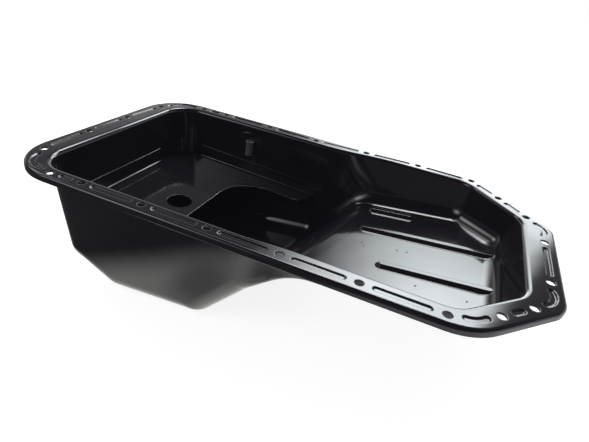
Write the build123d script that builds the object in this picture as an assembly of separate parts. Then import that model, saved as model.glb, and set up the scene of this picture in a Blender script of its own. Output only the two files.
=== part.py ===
"""Engine oil pan: pressed shell, windage baffle, dipstick guide and the drain's boss, washer and plug.

Frame: millimetres, +Z up. The gasket face is the plane z = 0. The sump hangs below it at the -X end and
the shallow trough runs on to the +X end; -Y is the near long side.
"""

import math
import os

from build123d import *

# ------------------------------------------------ sheet metal and bends
SHEET = 1.5
RIM_RADIUS = 4.5  # gasket face down into the walls, wet side
FOOT_RADIUS = 18.0  # walls into the floor, wet side
HEEL_RADIUS, RAMP_FOOT_RADIUS, RAMP_TOP_RADIUS = 25.0, 22.0, 24.0

# ------------------------------------------------ walls: place at the gasket face, and draft per mm
LEFT_WALL, LEFT_DRAFT = -205.0, 0.10
RIGHT_WALL, RIGHT_DRAFT = 205.0, 0.30
SUMP_WALL, SUMP_DRAFT = 108.0, 0.097  # both long sides of the sump
NEAR_TROUGH_WALL, NEAR_TROUGH_DRAFT = -107.0, 0.70
FAR_TROUGH_WALL, FAR_TROUGH_DRAFT = 117.0, 0.30
NEAR_CHAMFER, NEAR_CHAMFER_DRAFT = 267.6, 0.76  # x - y along the near corner's 45 degree wall
FAR_CHAMFER, FAR_CHAMFER_DRAFT = 268.0, 0.30  # x + y along the far corner's 45 degree wall
NEAR_STEP = (-8.0, 50.0)  # where the near wall passes from the sump to the trough
FAR_STEP = (-15.0, 85.0)
LEFT_CORNER_RADIUS, LEFT_CORNER_DRAFT = 28.5, 0.12
RIGHT_CORNER_RADIUS, RIGHT_CORNER_DRAFT = 24.0, 0.07

# ------------------------------------------------ floor: heights of its wet side
TILT = 0.105  # both floors rise towards +X by 6 degrees, the lean of the engine in the car
SUMP_FLOOR_Z = -110.7  # the sump floor carried on to x = 0
HEEL_X, HEEL_SLOPE = -145.0, 0.57
RAMP_X, RAMP_Z, RAMP_SLOPE, RAMP_SKEW = -4.5, -90.0, 1.1, 0.22
TROUGH_FLOOR_Z = -55.96  # the trough floor carried on to x = 0
TOP, DEPTH, REACH = 6.0, 150.0, 400.0  # how far the tools run below the face and sideways

# ------------------------------------------------ flange: outer corners as (x, y, radius), its lip
FLANGE_CORNERS = [
    (-232.5, -125.5, 52.0),
    (173.5, -125.5, 47.0),
    (232.5, -66.0, 25.0),
    (232.5, 58.5, 20.0),
    (157.0, 134.0, 25.0),
    (70.0, 134.0, 200.0),
    (5.0, 126.0, 200.0),
    (-232.5, 126.0, 49.0),
]
LIP_DEPTH, LIP_RADIUS = 6.2, 3.0
HOLE_RADIUS = 3.5  # M6 clearance
PITCH = 60.0  # of the six holes in line on the near side
HOLES = [(-178.0, -118.0)] + [(-146.0 + PITCH * i, -116.5) for i in range(6)]
HOLES += [(187.5, -98.0), (209.0, -76.0), (222.5, -35.0), (222.5, 29.0), (208.5, 70.0), (182.5, 97.0)]
HOLES += [(154.0, 123.5), (95.5, 125.0), (36.5, 120.0), (-24.0, 115.0), (-85.0, 117.0), (-145.0, 117.0)]
HOLES += [(-177.0, 116.0), (-219.5, 85.0), (-222.5, 28.5), (-222.5, -28.5), (-219.5, -86.5)]
BENT_BEADS = {
    6: (173.0, -110.8),
    8: (221.1, -61.8),
    10: (221.6, 56.1),
    19: (-204.6, 112.6),
    23: (-206.0, -111.0),
}  # beads round the corners: a point half way along, by the number of the hole before it
BEAD_INSET = 12.0  # hole centre to the end of a bead's centre line
BEAD_WIDTH, BEAD_FOOT, BEAD_DEPTH = 5.8, 3.0, 1.2  # across the groove at the face and at its bottom

# ------------------------------------------------ raised stiffening beads of the trough floor
FLOOR_BEADS = [(65.5, 105.5, 84.0), (66.5, 190.0, 40.0), (98.5, 190.0, -20.0)]  # x from, x to, y
FLOOR_BEAD_WIDTH, FLOOR_BEAD_CREST, FLOOR_BEAD_HEIGHT = 11.5, 4.8, 3.4

# ------------------------------------------------ pad pressed into the far wall, dipstick guide on it
PAD_X, PAD_Z, PAD_RADIUS, PAD_STEP = -107.0, -24.0, 14.0, 1.2
GUIDE_X, GUIDE_Z, GUIDE_LENGTH = -101.5, -27.0, 17.5
GUIDE_RADIUS, GUIDE_BORE, GUIDE_SEAT = 4.5, 3.0, 5.0
COLLAR_RADIUS, COLLAR_HEIGHT = 5.2, 2.0

# ------------------------------------------------ baffle
BAFFLE_SHEET, BAFFLE_GAP = 1.2, 0.1
BAFFLE_Z, BAFFLE_SLOPE = -63.8, -0.045  # top face carried on to x = 0, and its slope along X
BAFFLE_RIM, BAFFLE_FOLD = 14.0, 2.5
BAFFLE_CORNER_X, BAFFLE_CORNER_Y = -171.0, 58.0  # the rim stops short of both corners here
NOTCH_CORNERS = [
    (-102.0, -76.5, 42.0),
    (-56.0, -76.5, 3.0),
    (-40.0, -109.0, 1.0),
    (60.0, -109.0, 1.0),
    (60.0, 109.0, 1.0),
    (-6.4, 109.0, 1.0),
    (-23.0, 76.5, 3.0),
    (-102.0, 76.5, 42.0),
]
BAFFLE_HOLE_X, BAFFLE_HOLE_Y, BAFFLE_HOLE_RADIUS = -125.0, -10.5, 13.0

# ------------------------------------------------ drain, square to the heel facet
DRAIN_X = -172.0
BOSS_RADIUS, BOSS_HEIGHT, THREAD_RADIUS = 13.0, 4.5, 7.0
WASHER_RADIUS, WASHER_THICKNESS = 11.0, 1.6
HEX_ACROSS_FLATS, HEAD_HEIGHT, SHANK_LENGTH = 17.0, 5.5, 12.0
HEAD_FLANGE_RADIUS, HEAD_FLANGE = 12.0, 2.0


def wall_wire(level, grow):
    """Outline of the walls at one level, moved outwards by grow measured square to each drafted wall."""

    def at(wall, draft, scale=1.0):
        inward = -draft * -level + scale * grow * math.hypot(1.0, draft / scale)
        return wall + math.copysign(1.0, wall) * inward

    left, right = at(LEFT_WALL, LEFT_DRAFT), at(RIGHT_WALL, RIGHT_DRAFT)
    far_sump, near_sump = at(SUMP_WALL, SUMP_DRAFT), at(-SUMP_WALL, SUMP_DRAFT)
    near_trough = at(NEAR_TROUGH_WALL, NEAR_TROUGH_DRAFT)
    far_trough = at(FAR_TROUGH_WALL, FAR_TROUGH_DRAFT)
    near_cut = at(NEAR_CHAMFER, NEAR_CHAMFER_DRAFT, math.sqrt(2.0))
    far_cut = at(FAR_CHAMFER, FAR_CHAMFER_DRAFT, math.sqrt(2.0))
    r_left = LEFT_CORNER_RADIUS + LEFT_CORNER_DRAFT * level + grow
    r_right = RIGHT_CORNER_RADIUS + RIGHT_CORNER_DRAFT * level + grow
    run = r_right * math.tan(math.radians(22.5))
    slant = run / math.sqrt(2.0)
    near_a, near_b = (near_cut + near_trough, near_trough), (right, right - near_cut)
    far_a, far_b = (far_cut - far_trough, far_trough), (right, far_cut - right)

    def line(x0, y0, x1, y1):
        return Line((x0, y0, level), (x1, y1, level))

    def arc(x0, y0, x1, y1, radius):
        return RadiusArc((x0, y0, level), (x1, y1, level), -radius)

    def step(x0, y0, x1, y1):
        middle = (x0 + x1) / 2
        return Bezier((x0, y0, level), (middle, y0, level), (middle, y1, level), (x1, y1, level))

    runs = [
        line(left + r_left, near_sump, NEAR_STEP[0], near_sump),
        step(NEAR_STEP[0], near_sump, NEAR_STEP[1], near_trough),
        line(NEAR_STEP[1], near_trough, near_a[0] - run, near_trough),
        arc(near_a[0] - run, near_trough, near_a[0] + slant, near_trough + slant, r_right),
        line(near_a[0] + slant, near_trough + slant, right - slant, near_b[1] - slant),
        arc(right - slant, near_b[1] - slant, right, near_b[1] + run, r_right),
        line(right, near_b[1] + run, right, far_b[1] - run),
        arc(right, far_b[1] - run, right - slant, far_b[1] + slant, r_right),
        line(right - slant, far_b[1] + slant, far_a[0] + slant, far_trough - slant),
        arc(far_a[0] + slant, far_trough - slant, far_a[0] - run, far_trough, r_right),
        line(far_a[0] - run, far_trough, FAR_STEP[1], far_trough),
        step(FAR_STEP[1], far_trough, FAR_STEP[0], far_sump),
        line(FAR_STEP[0], far_sump, left + r_left, far_sump),
        arc(left + r_left, far_sump, left, far_sump - r_left, r_left),
        line(left, far_sump - r_left, left, near_sump + r_left),
        arc(left, near_sump + r_left, left + r_left, near_sump, r_left),
    ]
    return Wire([run.edge() for run in runs])


def below(points, direction):
    """A long prism under a line of points (x, z) in the plane y = 0, run both ways along direction."""
    loop = [(points[0][0], -REACH), *points, (points[-1][0], -REACH)]
    face = make_face(Polyline(*[(x, 0, z) for x, z in loop], close=True))
    return extrude(face, REACH, dir=direction, both=True)


def floor_cuts(grow):
    """What lies under the floor: a prism for heel and sump floor, one for the skewed ramp and trough."""
    drop = grow * math.hypot(1.0, TILT)
    sump = SUMP_FLOOR_Z - drop
    trough = TROUGH_FLOOR_Z - drop
    heel_z = SUMP_FLOOR_Z + TILT * HEEL_X + HEEL_SLOPE * HEEL_X - grow * math.hypot(1.0, HEEL_SLOPE)
    heel_x = (heel_z - sump) / (TILT + HEEL_SLOPE)
    ramp = RAMP_Z - RAMP_SLOPE * RAMP_X - grow * math.hypot(1.0, RAMP_SLOPE, RAMP_SLOPE * RAMP_SKEW)
    top_x = (trough - ramp) / (RAMP_SLOPE - TILT)
    low_x = (-REACH - ramp) / RAMP_SLOPE
    lean = Vector(-RAMP_SLOPE, RAMP_SLOPE * RAMP_SKEW, 1).cross(Vector(-TILT, 0, 1))
    far_left = (-REACH, heel_z + HEEL_SLOPE * REACH)
    deep = [far_left, (heel_x, sump + TILT * heel_x), (REACH, sump + TILT * REACH)]
    shallow = [(low_x, -REACH), (top_x, trough + TILT * top_x), (REACH, trough + TILT * REACH)]
    prism = make_face(Polyline(*[(x, 0, z) for x, z in shallow], (REACH, 0, -REACH), close=True))
    return below(deep, (0, 1, 0)), extrude(prism, REACH, dir=lean.normalized(), both=True)


def floor_edges(body, across):
    """Edges of the floor, lowest x first: those across the pan between two floor faces, or the rest."""
    floors = [face for face in body.faces() if face.normal_at().Z < -0.6]
    edges = [edge for face in floors for edge in face.edges()]
    counts = [sum(edge.is_same(other) for other in edges) for edge in edges]
    wanted = [edge for edge, count in zip(edges, counts) if (count > 1) == across]
    first = [not any(edge.is_same(other) for other in wanted[:i]) for i, edge in enumerate(wanted)]
    return sorted([edge for edge, keep in zip(wanted, first) if keep], key=lambda edge: edge.center().X)


def plug(grow, top):
    """The space inside the walls, every bend of the floor rounded; grow moves all faces outwards."""
    body = loft([make_face(wall_wire(top, grow)), make_face(wall_wire(-DEPTH, grow))], ruled=True)
    for cut in floor_cuts(grow):
        body -= cut
    places = [edge.center() for edge in floor_edges(body, True)]
    radii = (HEEL_RADIUS + grow, RAMP_FOOT_RADIUS + grow, RAMP_TOP_RADIUS - grow)
    for place, radius in zip(places, radii):
        body = fillet(body.edges().sort_by_distance(place)[0], radius)
    return fillet(floor_edges(body, False), FOOT_RADIUS + grow)


def sheet_outline(corners, inset=0.0):
    """Face bounded by straight runs with rounded corners, given as (x, y, radius)."""
    radii = [radius for _, _, radius in corners]
    face = make_face(FilletPolyline(*[(x, y) for x, y, _ in corners], radius=radii, close=True))
    return offset(face, -inset) if inset else face


def slot(start, end, middle, width):
    """Face of a slot between two points, straight or bent through a middle point."""
    if middle is not None:
        return SlotArc(ThreePointArc(start, middle, end), width)
    along = end - start
    heading = math.degrees(math.atan2(along.Y, along.X))
    return Pos((start + end) / 2) * Rot(0, 0, heading) * SlotCenterToCenter(along.length, width)


def bead(start, end, middle, width, foot, depth, reach):
    """A bead's tool: a slot as wide as width at z = 0 and foot at z = -depth, carried on up by reach."""
    wide = width + (width - foot) * reach / depth
    mouth = Pos(0, 0, reach) * slot(start, end, middle, wide)
    bottom = Pos(0, 0, -depth) * slot(start, end, middle, foot)
    return loft([mouth, bottom], ruled=True)


def flange_bead(i, grow, reach):
    """Tool for the bead between hole i and the next one, grow thicker all over for the underside."""
    start, end = Vector(*HOLES[i]), Vector(*HOLES[(i + 1) % len(HOLES)])
    middle = Vector(*BENT_BEADS[i]) if i in BENT_BEADS else None
    target = middle or (start + end) / 2
    start += (target - start).normalized() * BEAD_INSET
    end += (target - end).normalized() * BEAD_INSET
    spread = 0.95 * grow
    depth = BEAD_DEPTH + grow
    foot = BEAD_FOOT + spread
    width = foot + (BEAD_WIDTH - BEAD_FOOT) * depth / BEAD_DEPTH
    return bead(start, end, middle, width, foot, depth, reach)


def floor_bead(x_from, x_to, y, grow):
    """Space that a raised bead takes from the plug: upside down, so its foot is the crest of the bead."""
    crest = FLOOR_BEAD_CREST - 0.5 * grow
    height = FLOOR_BEAD_HEIGHT - grow * math.hypot(1.0, TILT)
    spread = (FLOOR_BEAD_WIDTH - FLOOR_BEAD_CREST) / FLOOR_BEAD_HEIGHT
    tool = bead(Vector(x_from, y), Vector(x_to, y), None, crest + spread * height, crest, height, 3.0)
    lean = Plane((0, 0, TROUGH_FLOOR_Z), x_dir=(1, 0, TILT), z_dir=(-TILT, 0, 1))
    return lean * (Rot(180, 0, 0) * Pos(0, -2 * y, 0) * tool)


def far_wall_plane(x, z):
    """Plane on the wet side of the far sump wall, its z axis pointing into the pan."""
    inward = Vector(0, -1, SUMP_DRAFT).normalized()
    return Plane((x, SUMP_WALL + SUMP_DRAFT * z, z), x_dir=(1, 0, 0), z_dir=inward)


def pressing(grow, top):
    """The plug less what is pressed up or in: the floor beads and the pad on the far wall."""
    body = plug(grow, top)
    for x_from, x_to, y in FLOOR_BEADS:
        body -= floor_bead(x_from, x_to, y, grow)
    pad = Cylinder(PAD_RADIUS - grow, 8.0, align=(Align.CENTER, Align.CENTER, Align.MAX))
    return body - far_wall_plane(PAD_X, PAD_Z) * Pos(0, 0, PAD_STEP - grow) * pad


def flange():
    """Gasket face with its down-turned lip, before the cavity and the holes are cut."""
    outline = sheet_outline(FLANGE_CORNERS)
    inside = sheet_outline(FLANGE_CORNERS, SHEET)
    return extrude(outline, -LIP_DEPTH) - Pos(0, 0, -SHEET) * extrude(inside, -LIP_DEPTH)


def flange_blank():
    """Shell with its flange still plain: rim and lip bends rounded on both sides of the sheet."""
    blank = flange() + pressing(SHEET, -SHEET / 2) - pressing(0, TOP)
    level = blank.faces().filter_by(Axis.Z)
    top = level.sort_by(Axis.Z)[-1]
    under = level.filter_by_position(Axis.Z, -SHEET - 0.01, -SHEET + 0.01)[0]
    places = [
        ([edge.center() for edge in top.inner_wires()[0].edges()], RIM_RADIUS),
        ([edge.center() for edge in under.inner_wires()[0].edges()], RIM_RADIUS - SHEET),
        ([edge.center() for edge in top.outer_wire().edges()], LIP_RADIUS),
        ([edge.center() for edge in under.outer_wire().edges()], LIP_RADIUS - SHEET),
    ]
    for spots, radius in places:
        edges = [min(blank.edges(), key=lambda edge: (edge.center() - spot).length) for spot in spots]
        blank = fillet(edges, radius)
    return blank


def make_shell():
    """The pressed pan: blank, pressed beads between the bolt holes, then the holes."""
    shell = flange_blank()
    shell += [flange_bead(i, SHEET, SHEET / -2) for i in range(len(HOLES))]
    shell -= [flange_bead(i, 0, 1.0) for i in range(len(HOLES))]
    drill = Cylinder(HOLE_RADIUS, 10.0)
    return shell - [Pos(x, y) * drill for x, y in HOLES]


def under_baffle(rise):
    """Everything below the baffle's plane, raised by rise."""
    level = BAFFLE_Z + rise
    ends = [(-REACH, level - BAFFLE_SLOPE * REACH), (REACH, level + BAFFLE_SLOPE * REACH)]
    return below(ends, (0, 1, 0))


def baffle_blank(grow, drop):
    """Solid inside the sump's walls and above the baffle's plane, its lower edge rounded for the fold."""
    walls = loft([make_face(wall_wire(TOP, grow)), make_face(wall_wire(-DEPTH, grow))], ruled=True)
    sump_end = Box(2 * REACH, REACH, REACH, align=(Align.MAX, Align.CENTER, Align.CENTER))
    body = (walls - under_baffle(-drop)) & sump_end
    folds = [edge for edge in floor_edges(body, False) if edge.center().X < -1.0]
    return fillet(folds, BAFFLE_FOLD + BAFFLE_SHEET + grow + BAFFLE_GAP)


def make_baffle():
    """Folded baffle: a plate with an upturned rim along the walls, a deep notch and a round hole."""
    tray = baffle_blank(-BAFFLE_GAP, BAFFLE_SHEET) - baffle_blank(-BAFFLE_GAP - BAFFLE_SHEET, 0)
    tray &= under_baffle(BAFFLE_RIM)
    for side, align in ((1, Align.MIN), (-1, Align.MAX)):
        corner = Box(REACH, REACH, REACH, align=(Align.MAX, align, Align.CENTER))
        tray -= Pos(BAFFLE_CORNER_X, side * BAFFLE_CORNER_Y) * corner - under_baffle(0)
    tray -= Pos(0, 0, -DEPTH) * extrude(sheet_outline(NOTCH_CORNERS), DEPTH)
    return tray - Pos(BAFFLE_HOLE_X, BAFFLE_HOLE_Y, -60) * Cylinder(BAFFLE_HOLE_RADIUS, 40)


def make_guide():
    """Short tube for the dipstick, standing along the pad on a narrow seat, with a collar at its top."""
    seat = Pos(0, 0, GUIDE_RADIUS / 2) * Box(GUIDE_SEAT, GUIDE_LENGTH, GUIDE_RADIUS)
    tube = Pos(0, 0, GUIDE_RADIUS) * Rot(90, 0, 0) * Cylinder(GUIDE_RADIUS, GUIDE_LENGTH)
    bore = Pos(0, 0, GUIDE_RADIUS) * Rot(90, 0, 0) * Cylinder(GUIDE_BORE, 2 * GUIDE_LENGTH)
    collar = Rot(90, 0, 0) * Cylinder(COLLAR_RADIUS, COLLAR_HEIGHT)
    collar = Pos(0, (GUIDE_LENGTH - COLLAR_HEIGHT) / 2, GUIDE_RADIUS) * collar
    in_the_wall = Box(4 * GUIDE_RADIUS, 2 * GUIDE_LENGTH, REACH, align=(Align.CENTER, Align.CENTER, Align.MAX))
    guide = tube + collar + seat - bore - in_the_wall
    return far_wall_plane(GUIDE_X, GUIDE_Z) * Pos(0, 0, PAD_STEP) * guide


def drain_plane():
    """Plane on the outside of the heel facet, its z axis pointing away from the pan."""
    outward = Vector(-HEEL_SLOPE, 0, -1).normalized()
    wet = Vector(DRAIN_X, 0, SUMP_FLOOR_Z + TILT * HEEL_X + HEEL_SLOPE * (HEEL_X - DRAIN_X))
    return Plane(wet + outward * SHEET, x_dir=(0, 1, 0), z_dir=outward)


def upright(radius, height, start=0.0):
    """Cylinder standing on the drain plane, from start upwards."""
    return Pos(0, 0, start) * Cylinder(radius, height, align=(Align.CENTER, Align.CENTER, Align.MIN))


def make_drain():
    """Threaded boss, sealing washer and hexagon plug."""
    boss = upright(BOSS_RADIUS, BOSS_HEIGHT) - upright(THREAD_RADIUS, 20.0, -5.0)
    boss = chamfer(boss.edges().filter_by(GeomType.CIRCLE).sort_by(Axis.Z)[-1], 1.0)
    washer = upright(WASHER_RADIUS, WASHER_THICKNESS, BOSS_HEIGHT) - upright(THREAD_RADIUS, 40.0)
    seat = BOSS_HEIGHT + WASHER_THICKNESS
    hexagon = RegularPolygon(HEX_ACROSS_FLATS / 2, 6, major_radius=False)
    head = Pos(0, 0, seat + HEAD_FLANGE) * extrude(hexagon, HEAD_HEIGHT)
    shank = upright(THREAD_RADIUS - 0.1, SHANK_LENGTH, seat - SHANK_LENGTH)
    drain_plug = head + upright(HEAD_FLANGE_RADIUS, HEAD_FLANGE, seat) + shank
    place = drain_plane()
    return place * boss, place * washer, place * drain_plug


def main():
    os.makedirs("parts", exist_ok=True)
    boss, washer, drain_plug = make_drain()
    drain_hole = drain_plane() * Cylinder(THREAD_RADIUS + 1.0, 12.0)
    parts = {
        "pan_shell": make_shell() - drain_hole,
        "baffle_plate": make_baffle(),
        "dipstick_guide": make_guide(),
        "drain_boss": boss,
        "drain_washer": washer,
        "drain_plug": drain_plug,
    }
    for name, part in parts.items():
        export_step(part, f"parts/{name}.step")


if __name__ == "__main__":
    main()
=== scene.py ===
"""Looks of the pressed steel oil pan: coated shell, baffle, dipstick guide and drain, on a studio floor.

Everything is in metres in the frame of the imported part: z = 0 is the gasket face, -X the deep sump, +X the
shallow trough, -Y the near long side. The form of the pressed sheet and the places of the specks are written
in millimetres.
"""

import math

import bmesh
import bpy
import numpy as np
from mathutils import Matrix, Vector


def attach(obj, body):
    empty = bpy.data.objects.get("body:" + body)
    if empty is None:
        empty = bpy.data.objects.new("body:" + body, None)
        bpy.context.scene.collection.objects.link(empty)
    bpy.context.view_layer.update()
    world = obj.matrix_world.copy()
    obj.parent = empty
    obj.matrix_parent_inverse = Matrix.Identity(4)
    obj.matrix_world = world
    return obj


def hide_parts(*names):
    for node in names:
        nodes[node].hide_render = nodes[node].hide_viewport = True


MM = 0.001

# ---------------------------------------------------------------- form of the pressed sheet, wet side, in mm
SHEET = 1.5
RIM_RADIUS = 4.5  # gasket face down into the walls
FOOT_RADIUS = 18.0  # walls into the floor
HEEL_RADIUS, RAMP_FOOT_RADIUS, RAMP_TOP_RADIUS = 25.0, 22.0, 24.0
LEFT_WALL, LEFT_DRAFT = -205.0, 0.10  # place at the gasket face, and draft per mm of depth
RIGHT_WALL, RIGHT_DRAFT = 205.0, 0.30
SUMP_WALL, SUMP_DRAFT = 108.0, 0.097  # both long sides of the sump
NEAR_TROUGH_WALL, NEAR_TROUGH_DRAFT = -107.0, 0.70
FAR_TROUGH_WALL, FAR_TROUGH_DRAFT = 117.0, 0.30
NEAR_CHAMFER, NEAR_CHAMFER_DRAFT = 267.6, 0.76  # x - y along the near corner's 45 degree wall
FAR_CHAMFER, FAR_CHAMFER_DRAFT = 268.0, 0.30  # x + y along the far corner's 45 degree wall
NEAR_STEP, FAR_STEP = (-8.0, 50.0), (-15.0, 85.0)  # where the long walls pass from the sump to the trough
LEFT_CORNER_RADIUS, LEFT_CORNER_DRAFT = 28.5, 0.12
RIGHT_CORNER_RADIUS, RIGHT_CORNER_DRAFT = 24.0, 0.07
TILT = 0.105  # both floors rise towards +X
SUMP_FLOOR_Z, TROUGH_FLOOR_Z = -110.7, -55.96  # both floors carried on to x = 0
HEEL_X, HEEL_SLOPE = -145.0, 0.57
RAMP_X, RAMP_Z, RAMP_SLOPE, RAMP_SKEW = -4.5, -90.0, 1.1, 0.22

TINY = 1e-9  # keeps a division away from zero
NUDGE = 0.01  # up and down, to find how fast the walls come in
ON_SHEET = 0.08  # a point this close to a side of the sheet lies on it

# ---------------------------------------------------------------- meshes
MERGE, SLIVER = 0.01 * MM, 0.002 * MM  # points closer than this are joined, thinner triangles taken out
SHARP_ANGLE = math.radians(34)  # edges that turn by less are shaded smooth
EXACT_ANGLE = math.radians(33)  # an exact normal may differ from its facet's by this

# ---------------------------------------------------------------- camera
CAMERA_PLACE = (0.12252, -0.36367, 0.18576)
CAMERA_HEADING, CAMERA_PITCH, CAMERA_ROLL = -18.178, -30.827, 8.991  # degrees from +Y, from level, clockwise
CAMERA_LENS, SENSOR = 27.39, 36.0
CAMERA_NEAR = 0.01

# ---------------------------------------------------------------- soft lights
SOFTBOX_AWAY = 3.0  # all lights are placed by heading (degrees from +Y towards +X) and height above level
MAIN_ACROSS = (  # brightness from the main light's right edge to its left one
    (0.0, 0.9),
    (0.18, 0.85),
    (0.27, 0.85),
    (0.39, 0.95),
    (0.48, 1.0),
    (0.58, 0.95),
    (0.72, 0.66),
    (0.81, 0.36),
    (0.9, 0.13),
    (1.0, 0.0),
)
MAIN_UP = ((0.0, 0.6), (0.33, 0.66), (0.44, 0.42), (0.55, 0.5), (0.66, 0.74), (0.77, 1.0))  # foot to top
MAIN_LEAN = 0.31  # its right edge leans left by this share of its width, foot to top
MAIN_EDGE = -0.145, -0.07  # and is soft between these shares of it
BROAD_EDGES = ((0.0, 0.0), (0.25, 1.0), (0.75, 1.0), (1.0, 0.0))
SOFT_EDGES = ((0.0, 0.0), (0.5, 1.0), (1.0, 0.0))
SOFTER_EDGES = ((0.0, 0.0), (0.25, 0.35), (0.42, 0.9), (0.5, 1.0), (0.58, 0.9), (0.75, 0.35), (1.0, 0.0))
COOL_WHITE, WHITE = (0.94, 1.0, 1.03, 1), (1, 1, 1, 1)
SOFTBOXES = (  # name, headings, heights, glow, brightness across and up, tint, whether its right edge leans
    ("softbox", (-20.0, 18.0), (9.0, 44.0), 11.5, MAIN_ACROSS, MAIN_UP, COOL_WHITE, True),
    ("side_softbox", (-94.0, -60.0), (24.0, 43.0), 6.0, SOFT_EDGES, SOFT_EDGES, WHITE, False),
    ("high_softbox", (-66.0, -4.0), (39.0, 63.0), 4.5, SOFTER_EDGES, SOFTER_EDGES, WHITE, False),
    ("crown_softbox", (-30.0, 4.0), (43.0, 74.0), 13.0, BROAD_EDGES, BROAD_EDGES, WHITE, False),
    ("back_softbox", (-160.0, -110.0), (12.0, 48.0), 4.5, SOFTER_EDGES, SOFTER_EDGES, WHITE, False),
)

# ---------------------------------------------------------------- room
ROOM_LIGHT, ROOM_BLUE = 0.35, 1.04  # what falls on the part from all round, and its share of blue
ROOM_SHINE = (  # what it mirrors of the room: sine of the height above level, brightness
    (0.0, 0.85),
    (0.27, 0.85),
    (0.31, 0.75),
    (0.335, 0.5),
    (0.37, 0.3),
    (0.43, 0.17),
    (0.62, 0.15),
    (0.80, 0.1),
)
ROOM_BEHIND = 0.15  # share of that brightness on the near side of the room; the far side shows all of it
ROOM_TURN = -0.1, 0.45  # the change lies between these sines of the angle towards +Y

# ---------------------------------------------------------------- floor
FLOOR_LEAN = math.atan(TILT)  # the sump stands flat on its own floor
FLOOR_DROP = (SHEET * math.hypot(1.0, TILT) - SUMP_FLOOR_Z) * MM
FLOOR_HALF = 6.0
FLOOR_GREY, FLOOR_GLOW = 0.4, 0.86  # as seen: what it sends back, and what is added to reach plain white
TABLE_EDGE, TABLE_SOFT = (0.49, 0.87, -0.19), 0.03  # the part of the floor painted as lit: where a x + b y > c, softened
TABLE_GREYS = 0.04, 0.85  # painted into its colour: unlit and lit
TABLE_MIRRORED_GLOW = 1.1  # painted light: the floor glows this much in mirrored rays only, fading out over TABLE_END along x
TABLE_END = 0.0, 0.06
TABLE_TINT = (1.0, 0.99, 0.93, 1)
TABLE_SHADE_SPOT = -0.067, -0.14, -0.119  # painted shade: a dim spot in that glow beside the sump
SPOT_REACH, SPOT_SHARE = (0.008, 0.048), 0.3  # it brightens over these distances, from this share

# ---------------------------------------------------------------- coat
COAT_IOR = 1.55  # each noise below is given as its scale and detail
COAT_GLARE_GLOW, COAT_GLARE_TINT = 0.0028, (0.92, 0.82, 1.25, 1)  # painted glow: the coat glows faintly to lift the deepest blacks, standing in for a white studio's glare
COAT_TONES, COAT_GLOSS = (0.7, 1.3), (0.85, 1.15)  # least and most, as shares of its colour and its roughness
CLOUDS, CLOUD_RANGE = (14.0, 3.0), (0.3, 0.7)  # slow changes of tone and gloss
EDGE_SOFTNESS, EDGE_SAMPLES = 1.0 * MM, 6  # the coat rounds off every edge
WAVES, WAVE_HEIGHT = (24.0, 1.0), 0.25 * MM  # slow waves of the drawn sheet
PEEL, PEEL_HEIGHT = (900.0, 2.0), 0.05 * MM  # orange peel

# ---------------------------------------------------------------- specks in the coat
SPECKS = ((72, 11), (75, 6), (106, 12), (115, 12.5), (131, -37.5), (173, -41))  # x, y on the trough floor, mm
SPECK_RADIUS, SPECK_SQUASH = 1.0 * MM, 0.22
SPECK_SIZES = (0.6, 0.5, 0.8), (1.6, 1.0, 1.2)  # least and most along, across and up
TURN_SEED, SIZE_SEED = 4, 7

# ---------------------------------------------------------------- metal
METAL_TONE, METAL_GLOSS = 0.72, (0.8, 1.3)  # darkest stain, and least and most of its roughness
STAINS = (300.0, 4.0)
SCRATCHES, SCRATCH_HEIGHT = (2500.0, 2.0), 0.03 * MM

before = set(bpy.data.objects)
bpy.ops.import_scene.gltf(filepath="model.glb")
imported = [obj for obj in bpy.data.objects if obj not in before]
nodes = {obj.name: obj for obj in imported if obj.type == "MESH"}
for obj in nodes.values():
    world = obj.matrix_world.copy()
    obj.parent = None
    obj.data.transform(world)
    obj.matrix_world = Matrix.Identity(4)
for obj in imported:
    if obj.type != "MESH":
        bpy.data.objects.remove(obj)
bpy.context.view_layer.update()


# ---------------------------------------------------------------- node trees
def add(tree, kind, inputs=None, **settings):
    """A new node: its settings come first, then a value or a link for each input that is named."""
    node = tree.nodes.new(kind)
    for name, value in settings.items():
        setattr(node, name, value)
    for name, value in (inputs or {}).items():
        if isinstance(value, bpy.types.NodeSocket):
            tree.links.new(value, node.inputs[name])
        else:
            node.inputs[name].default_value = value
    return node


def noise(tree, place, grain):
    scale, detail = grain
    return add(tree, "ShaderNodeTexNoise", {"Vector": place, "Scale": scale, "Detail": detail}).outputs["Fac"]


def carried(tree, value, given, wanted, kind="SMOOTHSTEP"):
    """The value carried over from one range to another, and held at the ends."""
    inputs = {"Value": value, "From Min": given[0], "From Max": given[1]}
    inputs |= {"To Min": wanted[0], "To Max": wanted[1]}
    return add(tree, "ShaderNodeMapRange", inputs, interpolation_type=kind).outputs["Result"]


def times(tree, first, second):
    return add(tree, "ShaderNodeMath", {0: first, 1: second}, operation="MULTIPLY").outputs[0]


def stepped(tree, value, stops):
    """Brightness that changes with the value, given as (value, brightness) stops."""
    steps = add(tree, "ShaderNodeValToRGB", {"Fac": value})
    ramp = steps.color_ramp
    while len(ramp.elements) < len(stops):
        ramp.elements.new(0.5)
    for stop, (place, glow) in zip(ramp.elements, stops):
        stop.position = place
        stop.color = (glow, glow, glow, 1)
    return steps.outputs["Color"]


def chosen(tree, share, first, second):
    """The first shader where the share is 0, the second where it is 1."""
    return add(tree, "ShaderNodeMixShader", {"Fac": share, 1: first, 2: second}).outputs[0]


# ---------------------------------------------------------------- materials
def material(name):
    """An empty material and its node tree."""
    made = bpy.data.materials.new(name)
    made.use_nodes = True
    made.node_tree.nodes.clear()
    return made, made.node_tree


def mottled(tree, fac, dark, light):
    """A colour between two by the noise."""
    inputs = {"Factor": fac, "A": (*dark, 1), "B": (*light, 1)}
    return add(tree, "ShaderNodeMix", inputs, data_type="RGBA").outputs["Result"]


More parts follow.
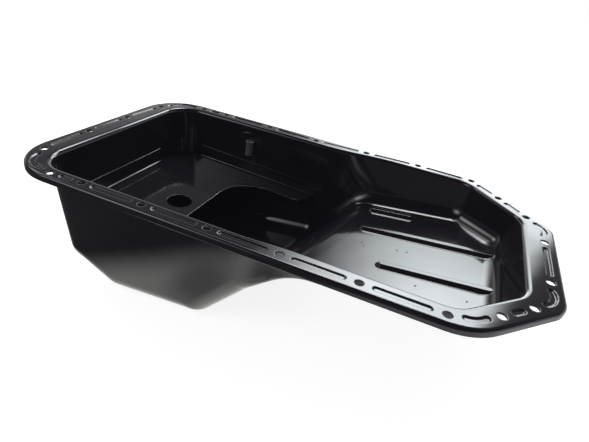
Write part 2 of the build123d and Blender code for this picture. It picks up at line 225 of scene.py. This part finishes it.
def bumped(tree, height, reach, strength, normal=None):
    """The normal bent by a height, on top of another one where it is given."""
    inputs = {"Height": height, "Distance": reach, "Strength": strength}
    if normal is not None:
        inputs["Normal"] = normal
    return add(tree, "ShaderNodeBump", inputs).outputs["Normal"]


def scaled(values, share):
    return [value * share for value in values]


def coat_material(name, colour, roughness, grain):
    """Dipped black coat: near black, glossy, with a faint orange peel, soft cloudy changes of gloss and a
    faint painted glow for glare.
    """
    made, tree = material(name)
    place = add(tree, "ShaderNodeTexCoord").outputs["Object"]
    clouds = noise(tree, place, CLOUDS)
    rounded = add(tree, "ShaderNodeBevel", {"Radius": EDGE_SOFTNESS}, samples=EDGE_SAMPLES)
    drawn = bumped(tree, noise(tree, place, WAVES), WAVE_HEIGHT, 1.0, rounded.outputs["Normal"])
    darkest, lightest = (scaled(colour, share) for share in COAT_TONES)
    finish = {
        "Base Color": mottled(tree, clouds, darkest, lightest),
        "Roughness": carried(tree, clouds, CLOUD_RANGE, scaled(COAT_GLOSS, roughness), "LINEAR"),
        "IOR": COAT_IOR,
        "Normal": bumped(tree, noise(tree, place, PEEL), PEEL_HEIGHT, grain, drawn),
        # painted glow: a faint emission in the coat stands in for a white studio's glare
        "Emission Color": COAT_GLARE_TINT,
        "Emission Strength": COAT_GLARE_GLOW,
    }
    shader = add(tree, "ShaderNodeBsdfPrincipled", finish)
    add(tree, "ShaderNodeOutputMaterial", {"Surface": shader.outputs["BSDF"]})
    return made


def metal_material(name, colour, roughness, scratch):
    """Bare or plated metal with fine scratches and a little staining."""
    made, tree = material(name)
    place = add(tree, "ShaderNodeTexCoord").outputs["Object"]
    stains = noise(tree, place, STAINS)
    finish = {
        "Base Color": mottled(tree, stains, scaled(colour, METAL_TONE), colour),
        "Roughness": carried(tree, stains, (0.0, 1.0), scaled(METAL_GLOSS, roughness), "LINEAR"),
        "Metallic": 1.0,
        "Normal": bumped(tree, noise(tree, place, SCRATCHES), SCRATCH_HEIGHT, scratch),
    }
    shader = add(tree, "ShaderNodeBsdfPrincipled", finish)
    add(tree, "ShaderNodeOutputMaterial", {"Surface": shader.outputs["BSDF"]})
    return made


COAT = coat_material("black_coat", (0.0066, 0.0060, 0.0078), 0.085, 0.04)
# painted light: the dipstick guide wears the same black coat as the shell, made lighter grey so that it reads
# as lit
LIGHTENED_GUIDE_COAT = coat_material("guide_coat_painted_lighter", (0.08, 0.08, 0.087), 0.22, 0.1)
PLATED = metal_material("plated_steel", (0.56, 0.55, 0.5), 0.32, 0.3)
ALUMINIUM = metal_material("soft_aluminium", (0.75, 0.75, 0.76), 0.38, 0.3)


# ---------------------------------------------------------------- exact form of the pressed sheet
def hollow(first, second, radius):
    """Two fields of (distance, normal) met by a bend whose centre is in the open space."""
    (distance_a, normal_a), (distance_b, normal_b) = first, second
    cosine = (normal_a * normal_b).sum(1)
    short_a, short_b = radius - distance_a, radius - distance_b
    spread = np.maximum(1 - cosine * cosine, TINY)
    share_a, share_b = (short_a - cosine * short_b) / spread, (short_b - cosine * short_a) / spread
    bent = (share_a > 0) & (share_b > 0)
    reach = normal_a * share_a[:, None] + normal_b * share_b[:, None]
    length = np.maximum(np.linalg.norm(reach, axis=1), TINY)
    nearest = np.where((distance_a < distance_b)[:, None], normal_a, normal_b)
    normal = np.where(bent[:, None], reach / length[:, None], nearest)
    return np.where(bent, radius - length, np.minimum(distance_a, distance_b)), normal


def bulge(first, second, radius):
    """The same with the bend's centre in the metal."""
    distance, normal = hollow((-first[0], -first[1]), (-second[0], -second[1]), radius)
    return -distance, -normal


def lesser(*fields):
    """At each point, the field with the least distance there."""
    distance, normal = fields[0]
    for other_distance, other_normal in fields[1:]:
        nearer = other_distance < distance
        distance = np.where(nearer, other_distance, distance)
        normal = np.where(nearer[:, None], other_normal, normal)
    return distance, normal


def side_field(x, y, sign, sump, trough, step):
    """A long wall seen from above: straight along the sump and the trough, with an S bend between."""
    low, high = step
    share = np.clip((x - low) / (high - low), 0, 1)
    t = share.copy()
    for _ in range(12):  # the place along the curve that has this x, by Newton's method
        t -= (1.5 * t - 1.5 * t**2 + t**3 - share) / (1.5 - 3 * t + 3 * t**2)
    wall = sump + (trough - sump) * (3 * t**2 - 2 * t**3)
    slope = (trough - sump) * 6 * t * (1 - t) / ((high - low) * (1.5 - 3 * t + 3 * t**2))
    size = np.hypot(1, slope)
    normal = np.stack([-sign * slope / size, sign / size, np.zeros_like(x)], 1)
    return sign * (y - wall) / size, normal


def outline_field(x, y, z):
    """Distance in plan to the walls' outline at each point's own level, and its plan normal."""

    def straight(nx, ny, wall, draft):
        size = math.hypot(nx, ny)
        normal = np.tile([nx / size, ny / size, 0.0], (len(x), 1))
        return (nx * x + ny * y + wall + draft * z) / size, normal

    left, right = straight(1, 0, -LEFT_WALL, LEFT_DRAFT), straight(-1, 0, RIGHT_WALL, RIGHT_DRAFT)
    near_cut = straight(-1, 1, NEAR_CHAMFER, NEAR_CHAMFER_DRAFT)
    far_cut = straight(-1, -1, FAR_CHAMFER, FAR_CHAMFER_DRAFT)
    sump = SUMP_WALL + SUMP_DRAFT * z
    near = side_field(x, y, 1, -sump, NEAR_TROUGH_WALL - NEAR_TROUGH_DRAFT * z, NEAR_STEP)
    far = side_field(x, y, -1, sump, FAR_TROUGH_WALL + FAR_TROUGH_DRAFT * z, FAR_STEP)
    round_left = LEFT_CORNER_RADIUS + LEFT_CORNER_DRAFT * z
    round_right = RIGHT_CORNER_RADIUS + RIGHT_CORNER_DRAFT * z
    return lesser(
        hollow(left, near, round_left),
        hollow(left, far, round_left),
        hollow(near, near_cut, round_right),
        hollow(near_cut, right, round_right),
        hollow(right, far_cut, round_right),
        hollow(far_cut, far, round_right),
    )


def pressed_field(points):
    """Distance and normal of the pan's wet side: walls, floors, the bends between them and the rolled rim."""
    x, y, z = points.T

    def plane(nx, ny, level):
        size = math.sqrt(nx * nx + ny * ny + 1)
        normal = np.tile([nx / size, ny / size, 1 / size], (len(x), 1))
        return (nx * x + ny * y + z - level) / size, normal

    distance, normal = outline_field(x, y, z)
    rate = (outline_field(x, y, z + NUDGE)[0] - outline_field(x, y, z - NUDGE)[0]) / (2 * NUDGE)
    size = np.hypot(1, rate)
    walls = distance / size, np.concatenate([normal[:, :2], rate[:, None]], 1) / size[:, None]
    heel = plane(HEEL_SLOPE, 0, SUMP_FLOOR_Z + HEEL_X * (TILT + HEEL_SLOPE))
    ramp = plane(-RAMP_SLOPE, RAMP_SLOPE * RAMP_SKEW, RAMP_Z - RAMP_SLOPE * RAMP_X)
    deep = hollow(heel, plane(-TILT, 0, SUMP_FLOOR_Z), HEEL_RADIUS)
    shallow = bulge(ramp, plane(-TILT, 0, TROUGH_FLOOR_Z), RAMP_TOP_RADIUS)
    floor = hollow(deep, shallow, RAMP_FOOT_RADIUS)
    return bulge(plane(0, 0, 0.0), hollow(walls, floor, FOOT_RADIUS), RIM_RADIUS)


def listed(items, name, width=1, kind=float):
    """One value of every item of a mesh, in a row for each item where it has several numbers."""
    values = np.zeros(len(items) * width, kind)
    items.foreach_get(name, values)
    return values.reshape(-1, width) if width > 1 else values


def true_normals(mesh):
    """Exact normals where the mesh lies on either side of the pressed sheet; the others stay as they are."""
    distance, normal = pressed_field(listed(mesh.vertices, "co", 3) / MM)
    wet, dry = abs(distance) < ON_SHEET, abs(distance + SHEET) < ON_SHEET
    exact = np.where(wet[:, None], normal, -normal)
    points = listed(mesh.loops, "vertex_index", kind=int)
    shown = listed(mesh.corner_normals, "vector", 3)
    sides = listed(mesh.polygons, "loop_total", kind=int)
    facing = np.repeat(listed(mesh.polygons, "normal", 3), sides, axis=0)
    fits = (wet | dry)[points] & ((exact[points] * facing).sum(1) > math.cos(EXACT_ANGLE))
    shown[fits] = exact[points][fits]
    mesh.normals_split_custom_set(shown.tolist())


# ---------------------------------------------------------------- pieces
def placed(name, data):
    """A new object in the scene."""
    made = bpy.data.objects.new(name, data)
    bpy.context.scene.collection.objects.link(made)
    return made


def paint(thing, look):
    thing.data.materials.clear()
    thing.data.materials.append(look)


def baked(thing):
    """The object with its modifiers made part of its mesh."""
    bpy.context.view_layer.update()
    graph = bpy.context.evaluated_depsgraph_get()
    shaped = thing.evaluated_get(graph)
    mesh = bpy.data.meshes.new_from_object(shaped, preserve_all_data_layers=True, depsgraph=graph)
    thing.modifiers.clear()
    old = thing.data
    thing.data = mesh
    mesh.name = thing.name
    bpy.data.meshes.remove(old)
    return thing


def merged_copy(node, name):
    """A copy of a node's mesh with its loose triangles joined, shaded smooth over its rounded bends."""
    mesh = nodes[node].data.copy()
    mesh.name = name
    skin = bmesh.new()
    skin.from_mesh(mesh)
    bmesh.ops.remove_doubles(skin, verts=skin.verts, dist=MERGE)
    bmesh.ops.dissolve_degenerate(skin, edges=skin.edges, dist=SLIVER)
    for face in skin.faces:
        face.smooth = True
    for edge in skin.edges:
        edge.smooth = len(edge.link_faces) == 2 and edge.calc_face_angle(0.0) < SHARP_ANGLE
    skin.to_mesh(mesh)
    skin.free()
    for attribute in [a for a in mesh.attributes if a.name == "custom_normal"]:
        mesh.attributes.remove(attribute)
    thing = placed(name, mesh)
    even = thing.modifiers.new("even", "WEIGHTED_NORMAL")
    even.keep_sharp = True
    return baked(thing)


for node, slot, look in (
    ("pan_shell", "coated_steel", COAT),
    ("baffle_plate", "coated_steel", COAT),
    # the guide's coat is lightened: painted light
    ("dipstick_guide", "coated_steel", LIGHTENED_GUIDE_COAT),
    ("drain_boss", "coated_steel", COAT),
    ("drain_washer", "soft_aluminium", ALUMINIUM),
    ("drain_plug", "plated_steel", PLATED),
):
    piece = merged_copy(node, node + "_finished")
    if node == "pan_shell":
        true_normals(piece.data)
    paint(piece, look)
    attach(piece, "root")
    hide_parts(node)


# ---------------------------------------------------------------- specks
def speck_tree(look):
    """Small domes of coat at the points of a mesh, each turned and sized by chance."""
    tree = bpy.data.node_groups.new("specks", "GeometryNodeTree")
    face = tree.interface
    face.new_socket("Geometry", in_out="INPUT", socket_type="NodeSocketGeometry")
    sizes = {}
    for name in ("Radius", "Squash"):
        sizes[name] = face.new_socket(name, in_out="INPUT", socket_type="NodeSocketFloat").identifier
    face.new_socket("Geometry", in_out="OUTPUT", socket_type="NodeSocketGeometry")

    given = add(tree, "NodeGroupInput").outputs
    dome = add(tree, "GeometryNodeMeshIcoSphere", {"Radius": given["Radius"], "Subdivisions": 3})
    squash = add(tree, "ShaderNodeCombineXYZ", {"X": 1.0, "Y": 1.0, "Z": given["Squash"]})
    inputs = {"Geometry": dome.outputs["Mesh"], "Scale": squash.outputs[0]}
    flat = add(tree, "GeometryNodeTransform", inputs)
    inputs = {"Min": 0.0, "Max": 2 * math.pi, "Seed": TURN_SEED}
    turn = add(tree, "FunctionNodeRandomValue", inputs, data_type="FLOAT")
    about = add(tree, "ShaderNodeCombineXYZ", {"Z": turn.outputs["Value"]})
    inputs = {"Min": SPECK_SIZES[0], "Max": SPECK_SIZES[1], "Seed": SIZE_SEED}
    size = add(tree, "FunctionNodeRandomValue", inputs, data_type="FLOAT_VECTOR")
    inputs = {
        "Points": given["Geometry"],
        "Instance": flat.outputs["Geometry"],
        "Rotation": about.outputs[0],
        "Scale": size.outputs["Value"],
    }
    laid = add(tree, "GeometryNodeInstanceOnPoints", inputs)
    real = add(tree, "GeometryNodeRealizeInstances", {"Geometry": laid.outputs["Instances"]})
    coated = add(tree, "GeometryNodeSetMaterial", {"Geometry": real.outputs["Geometry"], "Material": look})
    add(tree, "NodeGroupOutput", {"Geometry": coated.outputs["Geometry"]})
    return tree, sizes


def coat_specks():
    """Specks caught in the coat of the trough floor."""
    mesh = bpy.data.meshes.new("coat_specks")
    places = [(x * MM, y * MM, (TILT * x + TROUGH_FLOOR_Z) * MM) for x, y in SPECKS]
    mesh.from_pydata(places, [], [])
    piece = placed("coat_specks", mesh)
    tree, sizes = speck_tree(COAT)
    scatter = piece.modifiers.new("specks", "NODES")
    scatter.node_group = tree
    scatter[sizes["Radius"]] = SPECK_RADIUS
    scatter[sizes["Squash"]] = SPECK_SQUASH
    baked(piece)
    for polygon in piece.data.polygons:
        polygon.use_smooth = True
    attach(piece, "root")


# ---------------------------------------------------------------- studio
def painted_table_glow(tree, place, lit):
    """Painted light the floor glows with in mirrored rays: its lit part, fading along x, with a painted shade
    spot by the sump.
    """
    parts = add(tree, "ShaderNodeSeparateXYZ", {0: place})
    fading = carried(tree, parts.outputs["X"], TABLE_END, (TABLE_MIRRORED_GLOW, 0.0))
    away = add(tree, "ShaderNodeVectorMath", {0: place, 1: TABLE_SHADE_SPOT}, operation="DISTANCE")
    spot = carried(tree, away.outputs["Value"], SPOT_REACH, (SPOT_SHARE, 1.0))
    return times(tree, times(tree, lit, fading), spot)


def floor_material():
    """Plain white where the camera sees it lit, a little darker in the shadow; to other rays a table with
    light and shade painted into its colour, glowing in mirrored rays.
    """
    look, tree = material("floor_white")
    path = add(tree, "ShaderNodeLightPath").outputs
    matt = add(tree, "ShaderNodeBsdfDiffuse", {"Color": (FLOOR_GREY, FLOOR_GREY, FLOOR_GREY, 1)})
    glow = add(tree, "ShaderNodeEmission", {"Strength": FLOOR_GLOW})
    shown = add(tree, "ShaderNodeAddShader", {0: matt.outputs[0], 1: glow.outputs[0]})

    place = add(tree, "ShaderNodeTexCoord").outputs["Object"]
    across = add(tree, "ShaderNodeVectorMath", {0: place, 1: (*TABLE_EDGE[:2], 0)}, operation="DOT_PRODUCT")
    edge = TABLE_EDGE[2] - TABLE_SOFT, TABLE_EDGE[2] + TABLE_SOFT
    # painted light and shade in the floor's colour, as other rays see it
    lit = carried(tree, across.outputs["Value"], edge, TABLE_GREYS)
    table = add(tree, "ShaderNodeBsdfDiffuse", {"Color": lit})
    # painted light: the floor glows only in mirrored rays
    mirrored = times(tree, painted_table_glow(tree, place, lit), path["Is Glossy Ray"])
    shine = add(tree, "ShaderNodeEmission", {"Color": TABLE_TINT, "Strength": mirrored})
    unseen = add(tree, "ShaderNodeAddShader", {0: table.outputs[0], 1: shine.outputs[0]})

    surface = chosen(tree, path["Is Camera Ray"], unseen.outputs[0], shown.outputs[0])
    add(tree, "ShaderNodeOutputMaterial", {"Surface": surface})
    return look


def studio_floor():
    """Wide pale floor that touches the sump."""
    half = FLOOR_HALF
    mesh = bpy.data.meshes.new("floor")
    corners = [(-half, -half, 0), (half, -half, 0), (half, half, 0), (-half, half, 0)]
    mesh.from_pydata(corners, [], [(0, 1, 2, 3)])
    lean = Matrix.Rotation(-FLOOR_LEAN, 4, "Y")
    mesh.transform(Matrix.Translation((0, 0, -FLOOR_DROP)) @ lean)
    made = placed("floor", mesh)
    paint(made, floor_material())


def studio_world():
    """White where the camera sees it; a dim room in reflections, and an even grey as light."""
    world = bpy.data.worlds.new("studio")
    bpy.context.scene.world = world
    world.use_nodes = True
    tree = world.node_tree
    tree.nodes.clear()
    path = add(tree, "ShaderNodeLightPath").outputs
    seen = add(tree, "ShaderNodeBackground", {"Color": WHITE})
    lit = add(tree, "ShaderNodeBackground", {"Color": (ROOM_LIGHT, ROOM_LIGHT, ROOM_BLUE * ROOM_LIGHT, 1)})
    direction = add(tree, "ShaderNodeTexCoord").outputs["Generated"]
    parts = add(tree, "ShaderNodeSeparateXYZ", {0: direction}).outputs
    brightest = max(glow for _, glow in ROOM_SHINE)
    shares = [(height, glow / brightest) for height, glow in ROOM_SHINE]
    strength = carried(tree, parts["Y"], ROOM_TURN, (ROOM_BEHIND * brightest, brightest))
    inputs = {"Color": stepped(tree, parts["Z"], shares), "Strength": strength}
    mirrored = add(tree, "ShaderNodeBackground", inputs)
    room = chosen(tree, path["Is Glossy Ray"], lit.outputs[0], mirrored.outputs[0])
    surface = chosen(tree, path["Is Camera Ray"], room, seen.outputs[0])
    add(tree, "ShaderNodeOutputWorld", {"Surface": surface})


def aimed(heading, height):
    """The point at the lights' distance from the pan that has this heading and height."""
    turn, rise = math.radians(heading), math.radians(height)
    level = math.cos(rise)
    return SOFTBOX_AWAY * Vector((level * math.sin(turn), level * math.cos(turn), math.sin(rise)))


def softbox(name, headings, heights, glow):
    """A soft light that fills a window of headings and heights as seen from the pan, and faces it."""
    low, high = heights
    left, right = (aimed(heading, low) for heading in headings)
    across = right - left
    up = (aimed(headings[0], high) + aimed(headings[1], high) - left - right) / 2
    data = bpy.data.lights.new(name, "AREA")
    data.shape = "RECTANGLE"
    data.size, data.size_y = across.length, up.length
    data.energy = glow * math.pi * data.size * data.size_y
    lamp = placed(name, data)
    x, y = -across.normalized(), up.normalized()
    middle = (left + right + up) / 2
    lamp.matrix_world = Matrix.Translation(middle) @ Matrix((x, y, x.cross(y))).transposed().to_4x4()
    lamp.visible_camera = False
    return data


def lean_edge(tree, parts, strength):
    """Cuts the right side of a faded light off along a soft line that leans to the left at the top."""
    inputs = {0: parts["Y"], 1: -MAIN_LEAN, 2: parts["X"]}
    shift = add(tree, "ShaderNodeMath", inputs, operation="MULTIPLY_ADD")
    return times(tree, strength, carried(tree, shift.outputs[0], MAIN_EDGE, (0.0, 1.0)))


def fade(data, across, up, tint, leans):
    """Makes a soft light's brightness change from its right edge to its left one and from foot to top."""
    data.use_nodes = True
    tree = data.node_tree
    spot = add(tree, "ShaderNodeNewGeometry").outputs["Parametric"]
    parts = add(tree, "ShaderNodeSeparateXYZ", {0: spot}).outputs
    strength = times(tree, stepped(tree, parts["X"], across), stepped(tree, parts["Y"], up))
    if leans:
        strength = lean_edge(tree, parts, strength)
    emission = next(node for node in tree.nodes if node.type == "EMISSION")
    emission.inputs["Color"].default_value = tint
    tree.links.new(strength, emission.inputs["Strength"])


def camera():
    """The camera, in place and turned."""
    data = bpy.data.cameras.new("view")
    data.sensor_width = SENSOR
    data.lens = CAMERA_LENS
    data.clip_start = CAMERA_NEAR
    seat = placed("view", data)
    turn = (
        Matrix.Rotation(-math.radians(CAMERA_HEADING), 4, "Z")
        @ Matrix.Rotation(math.radians(90 + CAMERA_PITCH), 4, "X")
        @ Matrix.Rotation(math.radians(CAMERA_ROLL), 4, "Z")
    )
    seat.matrix_world = Matrix.Translation(CAMERA_PLACE) @ turn
    bpy.context.scene.camera = seat


coat_specks()
studio_floor()
studio_world()
for name, headings, heights, glow, across, up, tint, leans in SOFTBOXES:
    fade(softbox(name, headings, heights, glow), across, up, tint, leans)
camera()
bpy.context.scene.view_settings.view_transform = "Standard"
